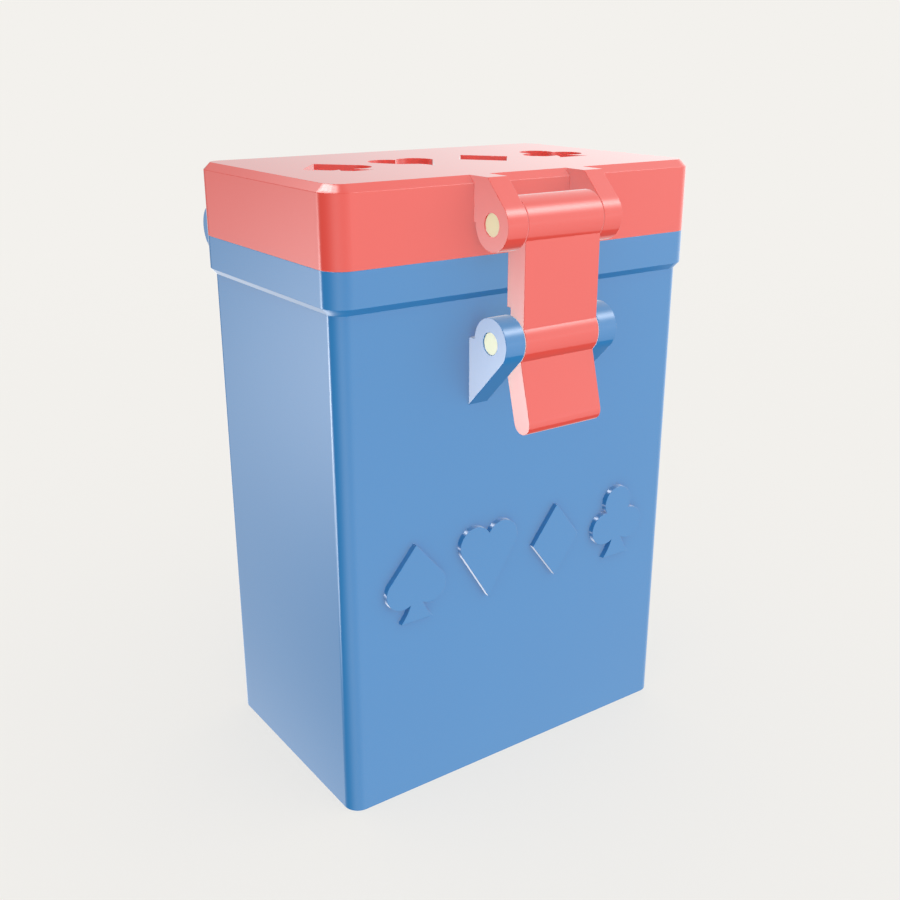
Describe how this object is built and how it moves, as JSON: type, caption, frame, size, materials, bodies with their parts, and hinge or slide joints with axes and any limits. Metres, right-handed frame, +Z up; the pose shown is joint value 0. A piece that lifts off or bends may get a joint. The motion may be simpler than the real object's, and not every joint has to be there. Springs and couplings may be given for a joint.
{
  "type": "card box",
  "caption": "Upright box for playing cards, with a lid hinged along the back on pinned knuckles and a pull latch at the front.",
  "frame": {"origin": "middle of the body's underside, midway between the two side walls and between the front and back walls", "axes": "+Z up from the surface that the box stands on, -Y out of the face with the latch, +X to the right seen from that face"},
  "size_m": [0.074, 0.0654, 0.1076],
  "materials": {
    "blue_plastic": "gloss",
    "red_plastic": "gloss",
    "cream_plastic": "gloss"
  },
  "bodies": {
    "box": {"body_shell": "blue_plastic", "catch_pin": "cream_plastic", "hinge_pin_left": "cream_plastic", "hinge_pin_right": "cream_plastic"},
    "lid": {"lid_shell": "red_plastic", "latch_pin": "cream_plastic"},
    "latch": {"latch_lever": "red_plastic"}
  },
  "joints": [
    {"name": "lid_hinge", "type": "hinge", "parent": "box", "child": "lid", "pos_m": [0, 0.0279, 0.0952], "axis": [-1, 0, 0], "range_deg": [0, 180]},
    {"name": "latch_pivot", "type": "hinge", "parent": "lid", "child": "latch", "pos_m": [0, -0.0279, 0.1006], "axis": [-1, 0, 0], "range_deg": [0, 180]}
  ],
  "couplings": [
    {"joint": "latch_pivot", "follows": "lid_hinge", "ratio": 1}
  ]
}
